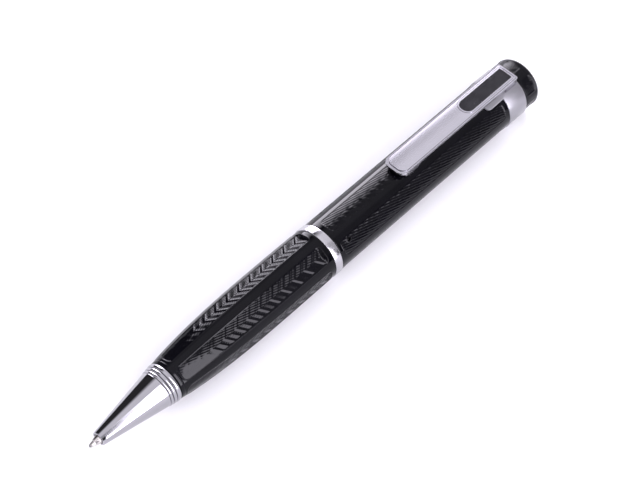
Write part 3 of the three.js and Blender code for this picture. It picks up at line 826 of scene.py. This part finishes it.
def make_clip(blade_material):
    top = CLIP_HIGH[2]
    tip, root = CLIP_LOW[0], CLIP_HIGH[0]
    half = CLIP_HIGH[1]
    under = AXIS_Z + 7.35
    low = AXIS_Z + 5.95
    foot_x = root - 4.3
    deck = top - PLATE_HEIGHT
    sky = top + 5

    # the pressing: a flat strip with a rounded lobe turned down on each side of the tip
    lobe = [
        (tip + LOBE_START + LOBE_LENGTH * t, under - (under - low) * math.sin(math.pi * t ** 0.85) ** 0.8)
        for t in np.linspace(0, 1, 17)
    ]
    outline = [(root, low), (root, deck)]
    outline += fillet((tip + 0.2, deck - 0.2), 0.2, 90, 180, 4)
    outline += fillet((tip + 0.12, under + 0.12), 0.12, 180, 270, 3)
    outline += lobe + [(foot_x, under), (foot_x, low)]
    blade = link_object("clip_blade_pressed", side_prism("clip_blade_pressed", outline, half + 1))
    boolean(blade, "INTERSECT", prism("plan", rounded_plan(tip, root, half, *PRESSING_CORNERS), 0, sky))
    channel = rounded_plan(tip + 1, tip + 7.2, half - 0.75, 1, 0.3)
    boolean(blade, "DIFFERENCE", prism("channel", channel, 0, under))
    boolean(blade, "DIFFERENCE", rod_mesh("barrel_room", tip - 3, 46, BARREL_R + CLIP_CLEARANCE))
    boolean(blade, "DIFFERENCE", rod_mesh("band_room", 45, root + 2, BAND_R + CLIP_CLEARANCE))

    # the crowned face plate on it, a little smaller all round, with a fine seam round it
    bar = crowned_bar("face_plate", tip, root, half + 1, deck - 0.1, top, PLATE_CROWN_R)
    plate = link_object("face_plate", bar)
    boolean(plate, "INTERSECT", prism("plan", plate_plan(), 0, sky))
    boolean(blade, "UNION", plate.data)
    bpy.data.objects.remove(plate)
    seam = ring_prism("seam", plate_plan(), plate_plan(SEAM_WIDTH), deck - 0.2, top + 1)
    boolean(blade, "DIFFERENCE", seam)

    # the window's recess, the groove round its bezel, and the hole behind it
    recess = prism("recess", window_plan(WINDOW_GAP), WINDOW_LOW[2] - WINDOW_GAP, sky)
    boolean(blade, "DIFFERENCE", recess)
    near_edge, far_edge = (window_plan(gap, 0.3) for gap in BEZEL_GROOVE)
    boolean(blade, "DIFFERENCE", ring_prism("bezel_groove", far_edge, near_edge, top - 0.25, top + 1))
    cut_sight_hole(blade)

    blade.data.materials.clear()
    blade.data.materials.append(blade_material)
    weld = blade.modifiers.new("weld", "WELD")
    weld.merge_threshold = 0.002 * MM
    bevel(blade, SOFT_EDGE, 3, 32)
    blade.data.polygons.foreach_set("use_smooth", [True] * len(blade.data.polygons))
    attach(blade, "clip")
    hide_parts("clip_blade")


def make_pane(pane_material):
    shape = prism("clip_window_pane", window_plan(), WINDOW_LOW[2], WINDOW_HIGH[2])
    pane = link_mesh("clip_window_pane", shape, pane_material)
    bevel(pane, SOFT_EDGE, 2)
    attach(pane, "clip")
    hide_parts("clip_window")


# ---------------------------------------------------------------- refill tip

def make_refill(steel, ball_material):
    front, back = REFILL_X
    profile = [(front + 0.45, 0.03), (front + 0.45, 0.37), (front, 0.37)]
    profile += fillet((front + 0.03, 0.4), 0.03, 180, 90, 3)
    profile += [(front + t, 0.43 + 0.19 * t ** 0.9) for t in np.linspace(0.2, 1.1, 5)]
    profile += [(front + 1.15, 0.72), (front + 1.2, 0.8), (front + 2.4, 1.12), (front + 3.2, 1.17)]
    profile += [(back - 1.5, 1.17), (back - 1.5, 0.85), (back, 0.85), (back, 0.03)]
    tip = turned("refill_tip_turned", profile, steel, 96, 30)
    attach(tip, "refill")
    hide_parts("refill_tip")
    ball_r = 0.35
    centre = TIP_X + ball_r
    arc = np.radians(np.linspace(180, 0, 33))
    ball_profile = [(centre + ball_r * math.cos(a), max(0.01, ball_r * math.sin(a))) for a in arc]
    ball = turned("tip_ball_polished", ball_profile, ball_material, 64, 80)
    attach(ball, "refill")
    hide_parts("tip_ball")


# ---------------------------------------------------------------- pieces kept from the frame

def finish_kept_nodes(finishes):
    """Gives each CAD node that still shows its slot's material and soft edges."""
    slots = {part["node"]: part["material_slot"] for part in frame["record"]["subparts"]}
    for name, node in frame["nodes"].items():
        if node.hide_render:
            continue
        material = finishes[slots[name]]
        node.data.materials.clear()
        node.data.materials.append(material)
        node.data.polygons.foreach_set("use_smooth", [True] * len(node.data.polygons))
        low, high = span(name)
        thinnest = min(b - a for a, b in zip(low, high))
        bevel(node, min(0.12, thinnest * 0.12), 2, 40)


# ---------------------------------------------------------------- studio

LIGHT_TINT = (0.95, 0.93, 1.0)
BOX_TINT = (0.93, 0.9, 1.0)
# the scrim's level from -Y (0) over the pen (0.5) to +Y (1)
SCRIM_STOPS = (
    (0.08, 0.05), (0.14, 0.62), (0.29, 0.68), (0.34, 1.12), (0.64, 1.22), (0.72, 0.6), (0.79, 0.05),
)
# the far box's level with height
FAR_BOX_STOPS = ((0.0, 0), (0.03, 1), (0.36, 0.85), (0.5, 0.6), (0.66, 0))
FAR_BOX_POWER = 16.0
NEAR_BOX_POWER = 12.5
FILL_POWER = 0.7
# metres, metres and watts
TOP_LIGHT_SIZE, TOP_LIGHT_HEIGHT, TOP_LIGHT_POWER = 0.5, 0.6, 0.12


def make_floor():
    half = 3.0
    corners = [(-half, -half, 0), (half, -half, 0), (half, half, 0), (-half, half, 0)]
    mesh = bpy.data.meshes.new("paper_floor")
    mesh.from_pydata(corners, [], [(0, 1, 2, 3)])
    n = Nodes("white_paper")
    cloud = n.noise(40, 3, 0.5)
    n.set(
        Base_Color=n.ramp(cloud, [(0.3, (0.93, 0.93, 0.935)), (0.7, (0.945, 0.945, 0.95))]),
        Roughness=0.9,
        Specular_IOR_Level=0.1,
    )
    n.bump(n.noise(0.3, 3, 0.5), 0.01)
    floor = link_mesh("paper_floor", mesh, n.material, smooth=False)


def make_world():
    """A grey scrim overhead, bright boxes low on both sides, a weak fill behind, and darkness round them."""
    world = bpy.data.worlds.new("studio")
    bpy.context.scene.world = world
    world.use_nodes = True
    n = Graph(world.node_tree, "Generated")
    split = n.add("ShaderNodeSeparateXYZ")
    n.link(n.place, split.inputs["Vector"])
    x, y, z = (split.outputs[axis] for axis in "XYZ")

    def step(value, start, end):
        return n.range(value, 0.0, 1.0, start, end, "SMOOTHSTEP")

    def product(*factors):
        total = factors[0]
        for factor in factors[1:]:
            total = n.maths("MULTIPLY", total, factor)
        return total

    def levels(value, stops):
        tinted = [(place, tuple(channel * level for channel in LIGHT_TINT)) for place, level in stops]
        return n.ramp(value, tinted)

    across = n.range(y, 0.0, 1.0, -1.0, 1.0)
    scrim = levels(across, SCRIM_STOPS)
    lean = n.range(z, 0.0, 0.12, 0.35, 0.6)
    far_box = product(
        step(n.maths("ADD", x, lean), 0.39, 0.43), step(x, 0.78, 0.72), step(y, 0.0, 0.1),
        levels(z, FAR_BOX_STOPS), FAR_BOX_POWER,
    )
    slant = n.maths("ADD", n.maths("MULTIPLY", y, -1.0), n.maths("MULTIPLY", x, -1.6))
    near_box = product(
        step(slant, 0.15, 0.27), step(x, 0.43, 0.39), step(x, 0.02, 0.08), step(y, -0.25, -0.35),
        NEAR_BOX_POWER,
    )
    fill = product(step(x, -0.05, -0.2), step(y, 0.35, 0.6), step(z, 0.0, 0.1), FILL_POWER)
    boxed = n.maths("ADD", n.maths("ADD", far_box, near_box), fill)
    boxes = n.add("ShaderNodeCombineColor")
    for channel, share in zip(("Red", "Green", "Blue"), BOX_TINT):
        n.link(n.maths("MULTIPLY", boxed, share), boxes.inputs[channel])
    total = n.add("ShaderNodeMix", data_type="RGBA", blend_type="ADD")
    total.inputs["Factor"].default_value = 1.0
    n.link(scrim, total.inputs["A"])
    n.link(boxes.outputs["Color"], total.inputs["B"])
    background = n.add("ShaderNodeBackground")
    n.link(total.outputs["Result"], background.inputs["Color"])
    output = n.add("ShaderNodeOutputWorld")
    n.link(background.outputs["Background"], output.inputs["Surface"])


def make_top_light():
    data = bpy.data.lights.new("top_softbox", "AREA")
    data.size = TOP_LIGHT_SIZE
    data.energy = TOP_LIGHT_POWER
    data.color = LIGHT_TINT
    link_object("top_softbox", data).location = (0, 0, TOP_LIGHT_HEIGHT)


def make_studio():
    bpy.context.scene.view_settings.view_transform = "Standard"
    bpy.context.scene.view_settings.look = "None"
    make_world()
    make_top_light()
    make_floor()


make_camera()
make_studio()

finishes = {
    "black_lacquer": lacquer("black_lacquer"),
    "chrome": chrome("chrome_plate"),
    "clip_metal": satin("satin_plate"),
    "tinted_plastic": smoked("smoked_pane"),
    "brass": metal("turned_brass", (0.72, 0.50, 0.22), 0.28),
    "refill_steel": metal("refill_steel", (0.56, 0.53, 0.52), 0.2),
    "tungsten_ball": metal("ball_carbide", (0.42, 0.41, 0.42), 0.12),
    "refill_metal": metal("drawn_tube", (0.66, 0.66, 0.64), 0.3),
    "ink": plastic("ink_paste", (0.008, 0.008, 0.02), 0.3),
    "white_acetal": plastic("white_acetal", (0.78, 0.77, 0.71), 0.5),
    "black_moulding": plastic("black_moulding", (0.018, 0.018, 0.02), 0.5),
    "rubber": plastic("seal_rubber", (0.012, 0.012, 0.012), 0.8, 0.08, 0.01),
    "tinned_steel": metal("tinned_steel", (0.64, 0.65, 0.67), 0.25),
    "circuit_board": board("circuit_board"),
    "chip_resin": plastic("chip_resin", (0.02, 0.02, 0.022), 0.55, 0.06, 0.008),
    "clear_resin": plastic("clear_resin", (0.85, 0.83, 0.7), 0.2),
    "pouch_foil": metal("pouch_foil", (0.62, 0.63, 0.66), 0.4, 0.5, 0.02),
    "foam": plastic("pad_foam", (0.035, 0.035, 0.04), 0.95, 0.2, 0.05),
    "red_insulation": plastic("red_insulation", (0.42, 0.02, 0.018), 0.4),
    "black_insulation": plastic("black_insulation", (0.012, 0.012, 0.012), 0.4),
    "lens_glass": glass("lens_glass"),
    "ribbon_film": plastic("ribbon_film", (0.4, 0.16, 0.03), 0.3),
    "gold_plate": metal("gold_plate", (0.83, 0.6, 0.2), 0.2),
    "capacitor_ceramic": plastic("capacitor_ceramic", (0.4, 0.28, 0.16), 0.6),
}

make_lower_barrel(finishes["black_lacquer"])
make_upper_barrel(finishes["black_lacquer"])
make_crown(finishes["black_lacquer"])
make_nose(finishes["chrome"])
make_collar(finishes["chrome"])
# The centre band gets a lit copy of the chrome: its base colour, brighter than the nose's, is painted light
# that lifts the band's dark reflections.
make_centre_band(chrome("lit_chrome_band", (0.5, 0.49, 0.52), 0.15))
# The clip band and saddle get a shaded copy of the satin plate: its darker base colour is painted shade that
# holds back the light the near box throws on them.
shaded_satin_band = satin("shaded_satin_band", (0.29, 0.285, 0.305), 0.3)
make_clip_band(shaded_satin_band)
make_saddle(shaded_satin_band)
make_clip(finishes["clip_metal"])
make_pane(finishes["tinted_plastic"])
make_refill(finishes["refill_steel"], finishes["tungsten_ball"])
finish_kept_nodes(finishes)
